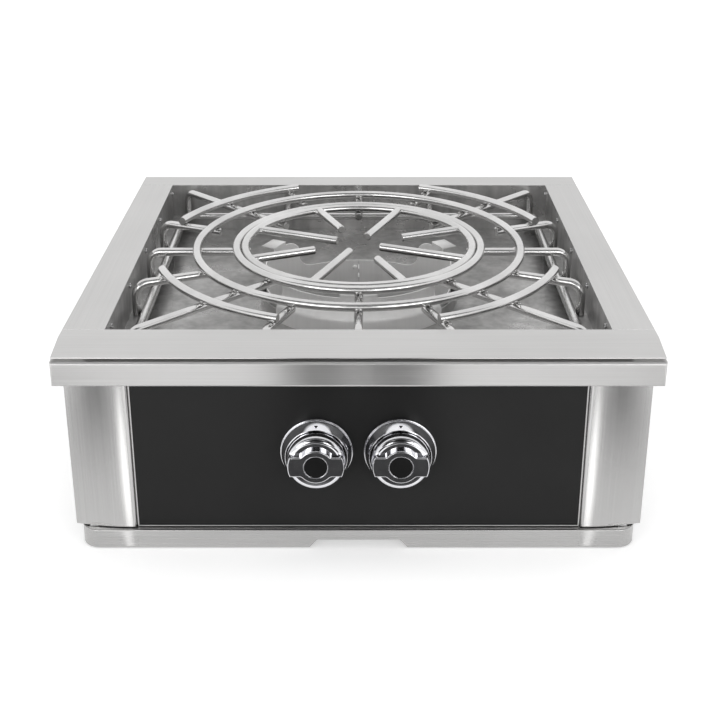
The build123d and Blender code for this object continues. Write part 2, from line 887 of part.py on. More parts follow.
# Supply pipe from the manifold to the rear
inlet_front = rear_inner - inlet_hex_length
with BuildPart() as supply_pipe:
    with BuildLine():
        FilletPolyline(
            (manifold_right, manifold_y, manifold_z),
            (supply_x, manifold_y, manifold_z),
            (supply_x, inlet_front, manifold_z),
            radius=supply_bend,
        )
    with BuildSketch(Plane(origin=(manifold_right, manifold_y, manifold_z), z_dir=(1, 0, 0))):
        Circle(supply_radius)
    sweep()
save(supply_pipe, "gas_supply_pipe")

# Gas inlet: hexagon inside the rear panel, a neck through it and a male pipe end behind
with BuildPart() as gas_inlet:
    with BuildSketch(Plane(origin=(supply_x, inlet_front, manifold_z), x_dir=(1, 0, 0), z_dir=(0, 1, 0))):
        RegularPolygon(inlet_hex / 2, 6, major_radius=False)
    extrude(amount=inlet_hex_length)
    inlet_end = casing_back + inlet_reach
    cylinder_y(inlet_neck_radius, supply_x, manifold_z, rear_inner, casing_back)
    cylinder_y(manifold_radius, supply_x, manifold_z, casing_back, inlet_end)
    bore_start = inlet_front + inlet_web
    cylinder_y(manifold_bore, supply_x, manifold_z, bore_start, inlet_end, Mode.SUBTRACT)
save(gas_inlet, "gas_inlet_fitting")

# Valve bodies: bore for the plug, outlet behind, stub down to the manifold
for side, sign in sides:
    with BuildPart() as valve_body:
        x = sign * knob_x
        cylinder_y(valve_radius, x, knob_height, valve_front, valve_back)
        cylinder_z(stub_radius, x, manifold_y, manifold_z, knob_height)
        with BuildSketch(side_plane(manifold_left)):
            with Locations((manifold_y, manifold_z)):
                Circle(manifold_radius)
        extrude(amount=manifold_right - manifold_left, mode=Mode.SUBTRACT)
        bore_end = plug_back + rest_gap
        cylinder_y(plug_radius + running_gap, x, knob_height, valve_front, bore_end, Mode.SUBTRACT)
        cylinder_y(gas_passage, x, knob_height, bore_end, valve_back, Mode.SUBTRACT)
        cylinder_z(gas_passage, x, manifold_y, manifold_z, knob_height, Mode.SUBTRACT)
    save(valve_body, f"{side}_valve_body")

# Orifices: brass spuds that point into the mixing tubes
for side, sign in sides:
    with BuildPart() as orifice:
        x = sign * knob_x
        cylinder_y(orifice_radius, x, knob_height, valve_back, orifice_tip)
        chamfer(orifice.edges().group_by(Axis.Y)[-1], orifice_taper)
        cylinder_y(orifice_bore, x, knob_height, valve_back, orifice_tip, Mode.SUBTRACT)
    save(orifice, f"{side}_orifice")

# Valve plugs: turn in the bodies, with a spring well and a flatted hole for the stem
well_floor = plug_front + spring_well_depth
stem_back = plug_back - push_travel - 2 * rest_gap
for side, sign in sides:
    with BuildPart() as plug:
        x = sign * knob_x
        cylinder_y(plug_radius, x, knob_height, plug_front, plug_back)
        cylinder_y(spring_well_radius, x, knob_height, plug_front, well_floor, Mode.SUBTRACT)
        with BuildSketch(Plane(origin=(x, well_floor, knob_height), x_dir=(1, 0, 0), z_dir=(0, 1, 0))):
            Circle(stem_radius + running_gap)
            rectangle_between(
                (stem_flat + running_gap, -cut_over), (cut_over, cut_over), mode=Mode.SUBTRACT
            )
        extrude(amount=plug_back - rest_gap - well_floor, mode=Mode.SUBTRACT)
    save(plug, f"{side}_valve_plug")

# Stems: flatted behind, with a collar that the return spring pushes on
collar_front = plug_front + stem_collar_inset
collar_back = collar_front + collar_thick
stem_tip = fascia_face - knob_back - stem_in_knob
for side, sign in sides:
    with BuildPart() as stem:
        x = sign * knob_x
        cylinder_y(stem_radius, x, knob_height, stem_tip, stem_back)
        cylinder_y(stem_collar_radius, x, knob_height, collar_front, collar_back)
        box_between(
            (x + stem_flat, well_floor - push_travel - rest_gap, knob_height - cut_over),
            (x + cut_over, stem_back, knob_height + cut_over),
            mode=Mode.SUBTRACT,
        )
    save(stem, f"{side}_valve_stem")


# A coil of quarter turns, each of two tangent arcs
def coil(x, first, last):
    def place(step):
        turn = step * pi / 2
        share = step / (4 * spring_turns)
        height = knob_height + spring_radius * sin(turn)
        return Vector(x + spring_radius * cos(turn), first + (last - first) * share, height)

    def heading(step):
        turn = step * pi / 2
        climb = (last - first) / (2 * pi * spring_turns)
        return Vector(-spring_radius * sin(turn), climb, spring_radius * cos(turn)).normalized()

    for step in range(4 * spring_turns):
        start, end = place(step), place(step + 1)
        leave, arrive = heading(step), heading(step + 1)
        chord, both = end - start, leave + arrive
        turn = 2 * (1 - leave.dot(arrive))
        reach = (sqrt(chord.dot(both) ** 2 + turn * chord.dot(chord)) - chord.dot(both)) / turn
        middle = (start + end + (leave - arrive) * reach) * 0.5
        first_arc = TangentArc(start, middle, tangent=leave)
        TangentArc(middle, end, tangent=first_arc % 1)


# Least gap between turns, measured on points along the wire
def least_gap(path):
    count = spring_turns * points_per_turn
    points = [path @ (index / count) for index in range(count + 1)]
    half_turn = points_per_turn // 2
    spans = [(a - b).length for i, a in enumerate(points) for b in points[i + half_turn :]]
    return min(spans) - spring_wire


# Return springs in the plugs' wells
for side, sign in sides:
    with BuildPart() as spring:
        x = sign * knob_x
        inset = spring_wire / 2 + weld_gap
        with BuildLine() as spring_path:
            coil(x, collar_back + inset, well_floor - inset)
        print(f"{side} spring: least gap {least_gap(spring_path.line):.2f} mm")
        with BuildSketch(Plane(origin=spring_path.line @ 0, z_dir=spring_path.line % 0)):
            Circle(spring_wire / 2)
        sweep()
    save(spring, f"{side}_stem_spring")

# Knob bezels: a flange on the fascia, a short body and a front that slopes in to the knob
bezel_bore = knob_radius + bezel_gap
for side, sign in sides:
    with BuildPart() as bezel:
        x = sign * knob_x
        with BuildSketch(knob_plane(x)) as bezel_section:
            with BuildLine():
                Polyline(
                    (bezel_bore, 0),
                    (bezel_radius, 0),
                    (bezel_radius, -bezel_flange),
                    (bezel_radius - bezel_step, -bezel_flange),
                    (bezel_radius - bezel_step, -bezel_body),
                    (bezel_bore + bezel_lip, -bezel_depth),
                    (bezel_bore, -bezel_depth),
                    close=True,
                )
            make_face()
            rims = bezel_section.vertices().filter_by(lambda v: v.X > bezel_bore + weld_gap and v.Y < -weld_gap)
            fillet(rims, bezel_round)
        revolve(axis=knob_axis(x))
    save(bezel, f"{side}_knob_bezel")

# Knobs: skirt and shoulder turned, with a bar grip and round boss on the face
for side, sign in sides:
    with BuildPart() as knob:
        x = sign * knob_x
        with BuildSketch(knob_plane(x)):
            with BuildLine():
                Polyline(
                    (0, -knob_shoulder),
                    (0, -knob_back),
                    (knob_radius, -knob_back),
                    (knob_radius, -knob_skirt),
                )
                TangentArc(
                    (knob_radius, -knob_skirt), (knob_shoulder_radius, -knob_shoulder), tangent=(0, -1)
                )
                Line((knob_shoulder_radius, -knob_shoulder), (0, -knob_shoulder))
            make_face()
        revolve(axis=knob_axis(x))
        with BuildSketch(face_plane(x, knob_skirt)) as grip:
            Rectangle(grip_length, grip_width)
            Circle(boss_radius)
            Circle(grip_length / 2, mode=Mode.INTERSECT)
            inner = grip.vertices().filter_by(lambda v: abs(v.X) < boss_radius)
            fillet(inner, grip_blend)
        extrude(amount=knob_face - knob_skirt)
        fillet(knob.faces().sort_by(Axis.Y)[0].edges(), grip_round)
        pocket = insert_thick + insert_sink
        cylinder_y(
            insert_radius + insert_rim,
            x,
            knob_height,
            fascia_face - knob_face,
            fascia_face - knob_face + pocket,
            Mode.SUBTRACT,
        )
        cylinder_y(
            stem_radius + knob_fit, x, knob_height, stem_tip, fascia_face - knob_back, Mode.SUBTRACT
        )
    save(knob, f"{side}_knob")

# Dark round centres set in the knobs
for side, sign in sides:
    with BuildPart() as insert:
        x = sign * knob_x
        front = fascia_face - knob_face + insert_sink
        cylinder_y(insert_radius, x, knob_height, front, front + insert_thick)
    save(insert, f"{side}_knob_insert")

# Grate frame: one rod bent round to a rectangle
with BuildPart() as grate_frame:
    with BuildLine() as frame_path:
        FilletPolyline(
            (-frame_x, -frame_y, frame_z),
            (frame_x, -frame_y, frame_z),
            (frame_x, frame_y, frame_z),
            (-frame_x, frame_y, frame_z),
            radius=frame_corner,
            close=True,
        )
    with BuildSketch(Plane(origin=frame_path.line @ 0, z_dir=frame_path.line % 0)):
        Circle(rod_radius)
    sweep()
save(grate_frame, "grate_frame")


# Where a bar's leg stands: beside the frame's straight sides or its rounded corners
def leg_place(across, along):
    reach = 1 / max(abs(across) / leg_x, abs(along) / leg_y)
    corner_x = frame_x - frame_corner
    corner_y = frame_y - frame_corner
    if abs(reach * across) > corner_x and abs(reach * along) > corner_y:
        toward = abs(across) * corner_x + abs(along) * corner_y
        round_reach = frame_corner + rod + weld_gap
        reach = toward + sqrt(toward**2 + round_reach**2 - corner_x**2 - corner_y**2)
    return reach * across, reach * along


# Grate bars: every other bar reaches under the wok ring, and each ends in a leg beside the frame
with BuildPart() as grate_bars:
    for index in range(bar_count):
        angle = radians(index * 360 / bar_count)
        across, along = cos(angle), sin(angle)
        inner_end = (middle_ring_radius if index % 2 else wok_radius) - bar_tuck
        foot = leg_place(across, along)
        start = (inner_end * across, inner_end * along, bar_z)
        with BuildLine():
            FilletPolyline(start, (*foot, bar_z), (*foot, frame_z - rod_radius), radius=bar_bend)
        with BuildSketch(Plane(origin=start, z_dir=(across, along, 0))):
            Circle(rod_radius)
        sweep()
save(grate_bars, "grate_bars")

# Rings and outer arcs welded on the bars
with BuildPart() as middle_ring:
    with Locations((0, 0, ring_z)):
        Torus(middle_ring_radius, rod_radius)
save(middle_ring, "grate_middle_ring")

with BuildPart() as inner_ring:
    with Locations((0, 0, ring_z)):
        Torus(inner_ring_radius, rod_radius)
save(inner_ring, "grate_inner_ring")

with BuildPart() as outer_arcs:
    for quarter in range(4):
        start = 45 + 90 * quarter - outer_arc_span / 2
        with Locations(Location((0, 0, ring_z), (0, 0, start))):
            Torus(outer_arc_radius, rod_radius, major_angle=outer_arc_span, align=None)
save(outer_arcs, "grate_outer_arcs")

# Wok ring and its prongs, long and short in turn
with BuildPart() as wok_ring:
    with Locations((0, 0, wok_z)):
        Torus(wok_radius, rod_radius)
save(wok_ring, "wok_ring")

with BuildPart() as wok_prongs:
    for index in range(prong_count):
        angle = radians((index + 0.5) * 360 / prong_count)
        tip = prong_tip_long if index % 2 else prong_tip_short
        heading = Vector(cos(angle), sin(angle), 0)
        with BuildSketch(Plane(origin=heading * tip + Vector(0, 0, wok_z), z_dir=heading)):
            Circle(rod_radius)
        extrude(amount=wok_radius - prong_cope - tip)
    rims = wok_prongs.edges().filter_by(GeomType.CIRCLE)
    tip_zone = (prong_tip_short + wok_radius) / 2
    fillet(rims.filter_by(lambda e: Vector(e.arc_center.X, e.arc_center.Y).length < tip_zone), prong_round)
    with Locations((0, 0, wok_z)):
        Torus(wok_radius, rod_radius + weld_gap, mode=Mode.SUBTRACT)
save(wok_prongs, "wok_ring_prongs")
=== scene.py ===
import bpy
import json
from math import atan2, cos, pi, radians, sin
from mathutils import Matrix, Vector


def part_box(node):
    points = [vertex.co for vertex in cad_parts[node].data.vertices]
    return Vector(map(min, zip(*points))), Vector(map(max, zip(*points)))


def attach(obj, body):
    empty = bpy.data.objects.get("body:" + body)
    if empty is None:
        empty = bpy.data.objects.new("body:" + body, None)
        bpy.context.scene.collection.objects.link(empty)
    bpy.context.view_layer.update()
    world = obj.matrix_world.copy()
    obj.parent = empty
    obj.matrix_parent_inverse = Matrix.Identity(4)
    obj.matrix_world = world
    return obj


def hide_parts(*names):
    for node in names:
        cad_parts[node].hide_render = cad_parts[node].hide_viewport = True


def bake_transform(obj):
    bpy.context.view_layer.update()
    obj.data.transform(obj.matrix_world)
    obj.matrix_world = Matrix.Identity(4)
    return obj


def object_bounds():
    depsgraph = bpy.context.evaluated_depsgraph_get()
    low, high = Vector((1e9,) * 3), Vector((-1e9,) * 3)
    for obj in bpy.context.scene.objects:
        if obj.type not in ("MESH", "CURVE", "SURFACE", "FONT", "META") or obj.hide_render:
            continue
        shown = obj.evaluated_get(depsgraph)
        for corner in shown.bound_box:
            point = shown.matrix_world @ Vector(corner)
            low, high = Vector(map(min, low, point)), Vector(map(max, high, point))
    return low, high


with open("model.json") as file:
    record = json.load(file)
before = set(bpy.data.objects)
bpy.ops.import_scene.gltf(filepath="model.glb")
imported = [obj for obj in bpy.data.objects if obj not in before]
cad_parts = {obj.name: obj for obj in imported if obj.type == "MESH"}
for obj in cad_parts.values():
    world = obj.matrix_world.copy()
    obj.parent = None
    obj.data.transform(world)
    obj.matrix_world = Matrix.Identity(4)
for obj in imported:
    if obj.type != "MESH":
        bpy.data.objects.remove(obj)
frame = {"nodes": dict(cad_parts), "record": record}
cadLow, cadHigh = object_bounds()
nodes = frame["nodes"]
bodies = frame["record"]["behaviour"]["bodies"]
bodyOf = {node: body for body, members in bodies.items() for node in members}
slotOf = {row["node"]: row["material_slot"] for row in frame["record"]["subparts"]}
mm = 0.001
sides = (("left", -1), ("right", 1))
print("frame loaded:", len(nodes), "nodes")


# selecting, applying and smoothing, as one would click them
def clearSelection():
    if bpy.context.object and bpy.context.object.mode != "OBJECT":
        bpy.ops.object.mode_set(mode="OBJECT")
    bpy.ops.object.select_all(action="DESELECT")


def makeActive(piece):
    clearSelection()
    piece.select_set(True)
    bpy.context.view_layer.objects.active = piece


def applyModifiers(piece):
    makeActive(piece)
    for modifier in list(piece.modifiers):
        bpy.ops.object.modifier_apply(modifier=modifier.name)


def bakePlace(piece):
    makeActive(piece)
    bpy.ops.object.transform_apply(location=True, rotation=True, scale=True)


def smoothBy(piece, angle):
    makeActive(piece)
    bpy.ops.object.shade_smooth_by_angle(angle=radians(angle))


def bevelEdges(piece, width, segments, angle):
    bevel = piece.modifiers.new("softEdge", "BEVEL")
    bevel.width = width
    bevel.segments = segments
    bevel.limit_method = "ANGLE"
    bevel.angle_limit = radians(angle)
    applyModifiers(piece)


# camera at the photo's height and distance
cameraSet = {
    "x": 0.0016, "y": -1.4024, "z": 0.7471, "pitch": 21.56, "focalPixels": 1230.0, "shift": -0.12,
}
imageSide = 720
cameraData = bpy.data.cameras.new("photoCamera")
cameraData.lens = cameraSet["focalPixels"] * cameraData.sensor_width / imageSide
cameraData.shift_y = cameraSet["shift"]
photoCamera = bpy.data.objects.new("photoCamera", cameraData)
photoCamera.location = (cameraSet["x"], cameraSet["y"], cameraSet["z"])
photoCamera.rotation_euler = (radians(90 - cameraSet["pitch"]), 0, 0)
bpy.context.collection.objects.link(photoCamera)
bpy.context.scene.camera = photoCamera
bpy.context.scene.view_settings.view_transform = "Standard"
print("camera set")


# node building, one call per node
class Sheet:
    def __init__(self, name):
        self.material = bpy.data.materials.new(name)
        self.material.use_nodes = True
        self.tree = self.material.node_tree
        self.shader = self.tree.nodes["Principled BSDF"]
        self.place = self.tree.nodes.new("ShaderNodeTexCoord").outputs["Object"]

    def add(self, kind, **values):
        node = self.tree.nodes.new(kind)
        for key, value in values.items():
            setattr(node, key, value)
        return node

    def link(self, source, target):
        self.tree.links.new(source, target)

    def mapped(self, scale):
        node = self.add("ShaderNodeMapping")
        node.inputs["Scale"].default_value = scale
        self.link(self.place, node.inputs["Vector"])
        return node.outputs["Vector"]

    def noise(self, scale, detail=3.0, rough=0.5, stretch=(1, 1, 1)):
        node = self.add("ShaderNodeTexNoise")
        node.inputs["Scale"].default_value = scale
        node.inputs["Detail"].default_value = detail
        node.inputs["Roughness"].default_value = rough
        self.link(self.mapped(stretch), node.inputs["Vector"])
        return node.outputs["Fac"]

    def cells(self, scale):
        node = self.add("ShaderNodeTexVoronoi")
        node.inputs["Scale"].default_value = scale
        self.link(self.mapped((1, 1, 1)), node.inputs["Vector"])
        return node.outputs["Color"]

    def spread(self, source, low, high, fromLow=0.3, fromHigh=0.7):
        node = self.add("ShaderNodeMapRange")
        node.inputs["From Min"].default_value = fromLow
        node.inputs["From Max"].default_value = fromHigh
        node.inputs["To Min"].default_value = low
        node.inputs["To Max"].default_value = high
        self.link(source, node.inputs["Value"])
        return node.outputs["Result"]

    def sum(self, first, second, kind="ADD"):
        node = self.add("ShaderNodeMath", operation=kind)
        for index, value in enumerate((first, second)):
            if isinstance(value, (int, float)):
                node.inputs[index].default_value = value
            else:
                self.link(value, node.inputs[index])
        return node.outputs[0]

    def blendColours(self, factor, dark, light):
        node = self.add("ShaderNodeMix", data_type="RGBA")
        self.link(factor, node.inputs["Factor"])
        for socket, colour in ((node.inputs[6], dark), (node.inputs[7], light)):
            if isinstance(colour, tuple):
                socket.default_value = (*colour, 1)
            else:
                self.link(colour, socket)
        return node.outputs[2]

    def part(self, axis):
        node = self.add("ShaderNodeSeparateXYZ")
        self.link(self.place, node.inputs[0])
        return node.outputs[axis]

    def acrossGrain(self, along):
        normal = self.add("ShaderNodeNewGeometry").outputs["True Normal"]
        node = self.add("ShaderNodeVectorMath", operation="CROSS_PRODUCT")
        self.link(normal, node.inputs[0])
        node.inputs[1].default_value = along
        self.link(node.outputs[0], self.shader.inputs["Tangent"])

    def bump(self, height, strength, distance):
        node = self.add("ShaderNodeBump")
        node.inputs["Strength"].default_value = strength
        node.inputs["Distance"].default_value = distance
        self.link(height, node.inputs["Height"])
        self.link(node.outputs["Normal"], self.shader.inputs["Normal"])

    def colour(self, source):
        self.link(source, self.shader.inputs["Base Color"])

    def roughness(self, source):
        self.link(source, self.shader.inputs["Roughness"])

    def metal(self, share=1.0):
        self.shader.inputs["Metallic"].default_value = share


def grey(level, warm=0.0):
    return (level * (1 + warm), level, level * (1 - warm))


# satin sheet: grain runs along X on the front and the cross rails, along Y on the deck's side rails,
# and upwards on the columns
satinLook = {"dark": 0.56, "light": 0.64, "warm": 0.008, "fine": 1400, "long": 5, "depth": 0.012}
railEdge = {"side": 2.4 * mm, "end": 1.2 * mm}  # how far the deck's opening stands off the liner
linerLow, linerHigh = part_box("left_liner_wall")


# tone below 1 makes a darker copy of this one steel: painted shade for parts that get less light
def satinSteel(name, grain, smooth, dull, stretch, tone=1.0, share=1.0):
    sheet = Sheet(name)
    sheet.metal(share)
    fine, longWay = satinLook["fine"], satinLook["long"]
    stretches = {"x": (longWay, fine, fine), "y": (fine, longWay, fine), "z": (fine, fine, longWay)}
    streak = sheet.noise(1.0, 2.0, 0.6, stretches[grain[0]])
    if len(grain) > 1:
        crossStreak = sheet.noise(1.0, 2.0, 0.6, stretches[grain[1]])
        across = sheet.sum(sheet.part("X"), 0, "ABSOLUTE")
        along = sheet.sum(sheet.part("Y"), 0, "ABSOLUTE")
        beside = sheet.sum(across, -linerLow.x - railEdge["side"], "GREATER_THAN")
        between = sheet.sum(along, linerHigh.y - railEdge["end"], "LESS_THAN")
        onSide = sheet.sum(beside, between, "MULTIPLY")
        mixed = sheet.add("ShaderNodeMix", data_type="FLOAT")
        sheet.link(onSide, mixed.inputs["Factor"])
        sheet.link(streak, mixed.inputs[2])
        sheet.link(crossStreak, mixed.inputs[3])
        streak = mixed.outputs[0]
    cloud = sheet.noise(6.0, 3.0)
    grainTone = sheet.sum(sheet.sum(streak, 0.6, "MULTIPLY"), sheet.sum(cloud, 0.4, "MULTIPLY"))
    spreadTone = sheet.spread(grainTone, 0.0, 1.0, 0.35, 0.65)
    # tone scales both greys, so a tone below 1 is painted shade, not a different steel
    dark = grey(satinLook["dark"] * tone, satinLook["warm"])
    light = grey(satinLook["light"] * tone, satinLook["warm"])
    sheet.colour(sheet.blendColours(spreadTone, dark, light))
    sheet.roughness(sheet.spread(streak, smooth, dull, 0.3, 0.7))
    sheet.shader.inputs["Anisotropic"].default_value = stretch
    sheet.acrossGrain({"x": (1, 0.06, 0.04), "y": (0.06, 1, 0.04), "z": (0.06, 0.04, 1)}[grain[0]])
    sheet.bump(streak, satinLook["depth"], 0.1 * mm)
    return sheet.material


# liner: dull sheet, stained in soft patches and runs
linerLook = {
    "stain": 0.32, "plain": 0.58, "warm": 0.01, "metal": 0.7, "patch": 9.0, "runs": 70.0, "runLength": 7.0,
    "fine": 160.0, "smooth": 0.22, "dull": 0.46,
}


def linerSteel(name):
    sheet = Sheet(name)
    sheet.metal(linerLook["metal"])
    patch = sheet.noise(linerLook["patch"], 6.0, 0.62)
    runs = sheet.noise(1.0, 3.0, 0.6, (linerLook["runs"], linerLook["runs"], linerLook["runLength"]))
    fine = sheet.noise(linerLook["fine"], 2.0)
    tone = sheet.sum(sheet.sum(patch, 0.55, "MULTIPLY"), sheet.sum(runs, 0.35, "MULTIPLY"))
    tone = sheet.sum(tone, sheet.sum(fine, 0.1, "MULTIPLY"))
    spreadTone = sheet.spread(tone, 0.0, 1.0, 0.38, 0.62)
    stain = grey(linerLook["stain"], linerLook["warm"])
    plain = grey(linerLook["plain"], linerLook["warm"])
    sheet.colour(sheet.blendColours(spreadTone, stain, plain))
    sheet.roughness(sheet.spread(patch, linerLook["dull"], linerLook["smooth"], 0.35, 0.65))
    sheet.bump(fine, 0.05, 0.2 * mm)
    return sheet.material


# polished rod, with faint draw marks
rodLook = {
    "dark": 0.60, "light": 0.74, "warm": 0.006, "marks": 260.0, "cloud": 18.0, "smooth": 0.14, "dull": 0.26,
}


def rodSteel(name):
    sheet = Sheet(name)
    sheet.metal()
    marks = sheet.noise(rodLook["marks"], 3.0, 0.6)
    cloud = sheet.noise(rodLook["cloud"], 3.0)
    dark = grey(rodLook["dark"], rodLook["warm"])
    light = grey(rodLook["light"], rodLook["warm"])
    sheet.colour(sheet.blendColours(sheet.spread(cloud, 0, 1), dark, light))
    sheet.roughness(sheet.spread(marks, rodLook["smooth"], rodLook["dull"]))
    sheet.bump(marks, 0.03, 0.1 * mm)
    return sheet.material


# shield: pale, half-bright sheet with faint upright marks; the pale colour and small metal share stand in for
# polished steel's bright reflections, painted light on a shaded inside
shieldLook = {
    "dark": 0.86, "light": 0.93, "warm": 0.008, "metal": 0.15, "marks": (220, 220, 9), "cloud": 11.0,
    "smooth": 0.30, "dull": 0.40,
}


def shieldSteel(name):
    sheet = Sheet(name)
    sheet.metal(shieldLook["metal"])
    marks = sheet.noise(1.0, 3.0, 0.6, shieldLook["marks"])
    cloud = sheet.noise(shieldLook["cloud"], 4.0)
    tone = sheet.sum(sheet.sum(marks, 0.5, "MULTIPLY"), sheet.sum(cloud, 0.5, "MULTIPLY"))
    spreadTone = sheet.spread(tone, 0.0, 1.0, 0.36, 0.64)
    dark = grey(shieldLook["dark"], shieldLook["warm"])
    light = grey(shieldLook["light"], shieldLook["warm"])
    sheet.colour(sheet.blendColours(spreadTone, dark, light))
    sheet.roughness(sheet.spread(marks, shieldLook["smooth"], shieldLook["dull"]))
    sheet.bump(marks, 0.04, 0.1 * mm)
    return sheet.material


# casing: zinc-dipped sheet with its crystal flakes
casingLook = {"dark": 0.42, "light": 0.54, "flake": 150.0, "cloud": 8.0, "smooth": 0.36, "dull": 0.48}


def casingSteel(name):
    sheet = Sheet(name)
    sheet.metal()
    flakes = sheet.cells(casingLook["flake"])
    cloud = sheet.noise(casingLook["cloud"], 4.0)
    tone = sheet.sum(sheet.sum(flakes, 0.6, "MULTIPLY"), sheet.sum(cloud, 0.4, "MULTIPLY"))
    spreadTone = sheet.spread(tone, 0.0, 1.0, 0.25, 0.75)
    sheet.colour(sheet.blendColours(spreadTone, grey(casingLook["dark"]), grey(casingLook["light"])))
    sheet.roughness(sheet.spread(flakes, casingLook["smooth"], casingLook["dull"], 0.1, 0.9))
    sheet.bump(cloud, 0.03, 0.3 * mm)
    return sheet.material


# plain turned or drawn metal: pipes, screws, brass
turnedLook = {"marks": (500, 120, 500), "cloud": 40.0, "depth": 0.05}


def turnedMetal(name, dark, light, smooth, dull):
    sheet = Sheet(name)
    sheet.metal()
    marks = sheet.noise(1.0, 3.0, 0.6, turnedLook["marks"])
    cloud = sheet.noise(turnedLook["cloud"], 3.0)
    sheet.colour(sheet.blendColours(sheet.spread(cloud, 0, 1), dark, light))
    sheet.roughness(sheet.spread(marks, smooth, dull))
    sheet.bump(marks, turnedLook["depth"], 0.1 * mm)
    return sheet.material


# cast iron with a rough skin
castLook = {
    "dark": (0.035, 0.033, 0.032), "light": (0.075, 0.066, 0.058), "metal": 0.6, "skin": 420.0, "rust": 30.0,
    "smooth": 0.55, "dull": 0.85, "depth": 0.35,
}


def castIron(name):
    sheet = Sheet(name)
    sheet.metal(castLook["metal"])
    skin = sheet.noise(castLook["skin"], 4.0, 0.65)
    rust = sheet.noise(castLook["rust"], 4.0)
    sheet.colour(sheet.blendColours(sheet.spread(rust, 0, 1), castLook["dark"], castLook["light"]))
    sheet.roughness(sheet.spread(skin, castLook["smooth"], castLook["dull"]))
    sheet.bump(skin, castLook["depth"], 0.5 * mm)
    return sheet.material


# bright plating on the knobs and their bezels
chromeLook = {
    "dark": (0.72, 0.72, 0.75), "light": (0.82, 0.82, 0.84), "haze": 120.0, "smooth": 0.05, "dull": 0.11,
}


def knobChrome(name):
    sheet = Sheet(name)
    sheet.metal()
    haze = sheet.noise(chromeLook["haze"], 3.0)
    sheet.colour(sheet.blendColours(sheet.spread(haze, 0, 1), chromeLook["dark"], chromeLook["light"]))
    sheet.roughness(sheet.spread(haze, chromeLook["smooth"], chromeLook["dull"]))
    return sheet.material


# black enamel, and black plastic with a fine grain
blackLook = {"cloud": 7.0, "gloss": 0.18}


def blackFinish(name, dark, light, smooth, dull, grain, depth):
    sheet = Sheet(name)
    skin = sheet.noise(grain, 3.0)
    cloud = sheet.noise(blackLook["cloud"], 4.0)
    sheet.colour(sheet.blendColours(sheet.spread(cloud, 0, 1), grey(dark), grey(light)))
    sheet.roughness(sheet.spread(skin, smooth, dull))
    sheet.shader.inputs["Specular IOR Level"].default_value = blackLook["gloss"]
    sheet.bump(skin, depth, 0.1 * mm)
    return sheet.material


finishes = {
    # the general satin copy's tone 0.86 is painted shade against the deck's full tone
    "satin_steel": satinSteel("satinAcross", "x", 0.34, 0.44, 0.3, 0.86, 0.8),
    "liner_steel": linerSteel("stainedLiner"),
    "rod_steel": rodSteel("polishedRod"),
    "shield_steel": shieldSteel("polishedShield"),
    "casing_steel": casingSteel("dippedCasing"),
    "pipe_steel": turnedMetal("drawnPipe", grey(0.34), grey(0.46), 0.28, 0.44),
    "fixing_steel": turnedMetal("brightFixing", grey(0.50), grey(0.64), 0.18, 0.32),
    "valve_brass": turnedMetal("turnedBrass", (0.56, 0.38, 0.13), (0.70, 0.50, 0.20), 0.22, 0.38),
    "burner_iron": castIron("castBurner"),
    "knob_chrome": knobChrome("brightChrome"),
    "knob_black": blackFinish("blackCentre", 0.006, 0.010, 0.34, 0.48, 900.0, 0.15),
    "fascia_black": blackFinish("blackEnamel", 0.011, 0.015, 0.34, 0.42, 1200.0, 0.03),
}
# the deck's copy keeps full tone; the columns' 0.88 and the rail's 0.80 are painted shade on the same steel
deckFinish = satinSteel("satinDeck", "xy", 0.30, 0.38, 0.4)
columnFinish = satinSteel("satinUpright", "z", 0.12, 0.17, 0.0, 0.88)
railFinish = satinSteel("satinRail", "x", 0.22, 0.30, 0.4, 0.80)
finishOf = {
    "top_deck": deckFinish,
    "left_column": columnFinish,
    "right_column": columnFinish,
    "tray_front": railFinish,
}


def dress(piece, finish):
    piece.data.materials.clear()
    piece.data.materials.append(finish)


for nodeName, node in nodes.items():
    for slot in node.material_slots:
        slot.material = finishOf.get(nodeName, finishes[slotOf[nodeName]])
print("finishes made:", len(finishes) + len(set(finishOf.values())))


# sheets and rods get the small edge radius that folding, deburring and polishing leave
softEdges = {
    "top_deck": 0.5, "front_bar": 0.5, "front_panel": 0.3, "control_fascia": 0.4, "left_column": 0.4,
    "right_column": 0.4, "tray_front": 0.4, "left_casing_side": 0.3, "right_casing_side": 0.3,
    "rear_casing_panel": 0.3, "bottom_pan": 0.3, "drip_tray": 0.35, "left_liner_wall": 0.35,
    "right_liner_wall": 0.35, "front_liner_wall": 0.35, "rear_liner_wall": 0.35, "burner_floor": 0.35,
    "floor_side_wings": 0.3, "left_shield_half": 0.35, "right_shield_half": 0.35, "grate_bars": 0.8,
    "burner_support_bar": 0.5, "outer_ring_burner": 0.4, "inner_burner": 0.4, "gas_inlet_fitting": 0.5,
    "left_knob": 0.35, "right_knob": 0.35, "left_knob_insert": 0.3, "right_knob_insert": 0.3,
}


mergeReach = 0.001 * mm
foldAngle = 35  # edges sharper than this are softened
headAngle = 40  # edges of turned heads and plates sharper than this stay crisp


def mergedCopy(nodeName, pieceName):
    piece = nodes[nodeName].copy()
    piece.data = piece.data.copy()
    piece.name = pieceName
    piece.data.name = pieceName
    piece.parent = None
    for key in list(piece.keys()):
        del piece[key]
    bpy.context.collection.objects.link(piece)
    makeActive(piece)
    if piece.data.has_custom_normals:
        bpy.ops.mesh.customdata_custom_splitnormals_clear()
    bpy.ops.object.mode_set(mode="EDIT")
    bpy.ops.mesh.select_all(action="SELECT")
    bpy.ops.mesh.remove_doubles(threshold=mergeReach)
    bpy.ops.mesh.dissolve_limited(angle_limit=radians(0.2))
    bpy.ops.object.mode_set(mode="OBJECT")
    return piece


